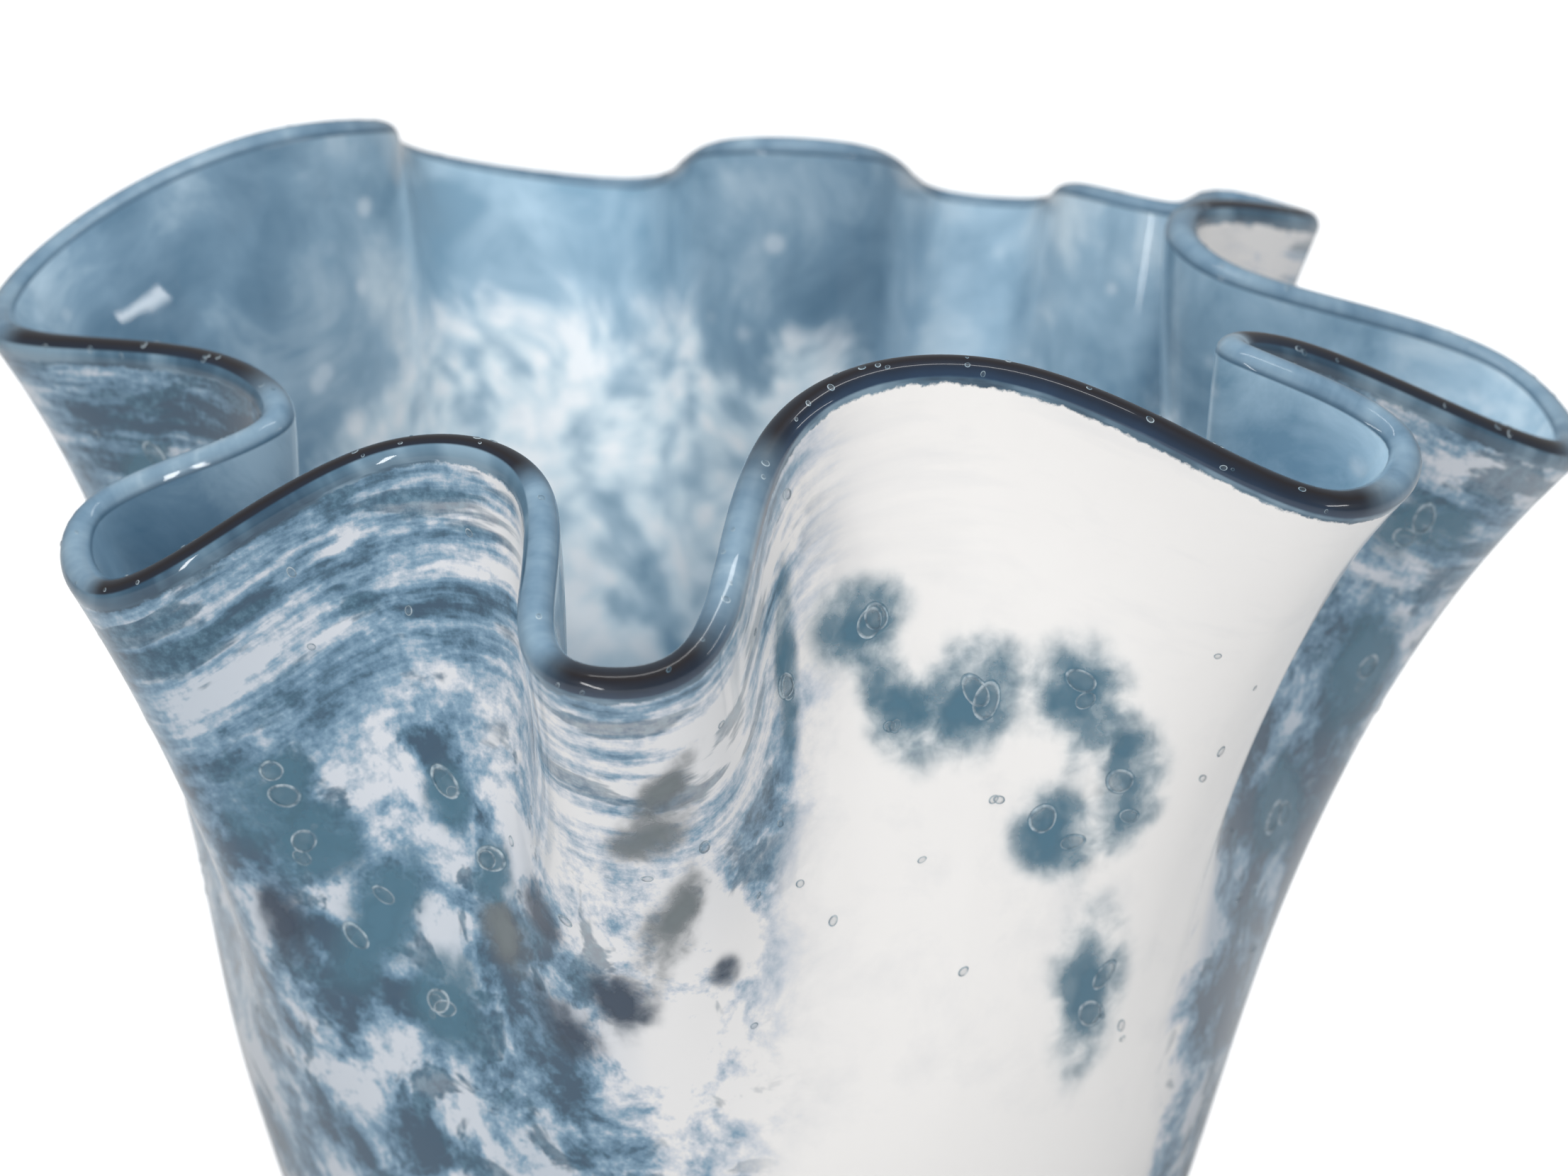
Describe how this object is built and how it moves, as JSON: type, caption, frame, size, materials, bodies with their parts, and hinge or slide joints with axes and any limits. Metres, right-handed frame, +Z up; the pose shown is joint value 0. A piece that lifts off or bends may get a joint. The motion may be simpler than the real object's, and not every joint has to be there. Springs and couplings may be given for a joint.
{
  "type": "handkerchief bowl",
  "caption": "Free-form art glass bowl with a deeply folded, flaring lip, a blue lining, white opal skin, melted-in chips and a clear outer casing.",
  "frame": {"origin": "centre of the flat ground foot, at table height", "axes": "+Z up, -Y towards the front lobe and the viewer, +X to the viewer's right"},
  "size_m": [0.25, 0.2377, 0.1969],
  "materials": {
    "blue_glass": "polished translucent",
    "white_opal_glass": "polished opaque",
    "clear_glass": "fire-polished clear",
    "blue_chip_glass": "melted in",
    "olive_chip_glass": "melted in",
    "dark_chip_glass": "melted in"
  },
  "bodies": {
    "root": {"blue_lining": "blue_glass", "opal_skin": "white_opal_glass", "clear_foot": "clear_glass", "clear_casing": "clear_glass", "blue_chips": "blue_chip_glass", "olive_chips": "olive_chip_glass", "dark_chips": "dark_chip_glass"}
  },
  "joints": []
}
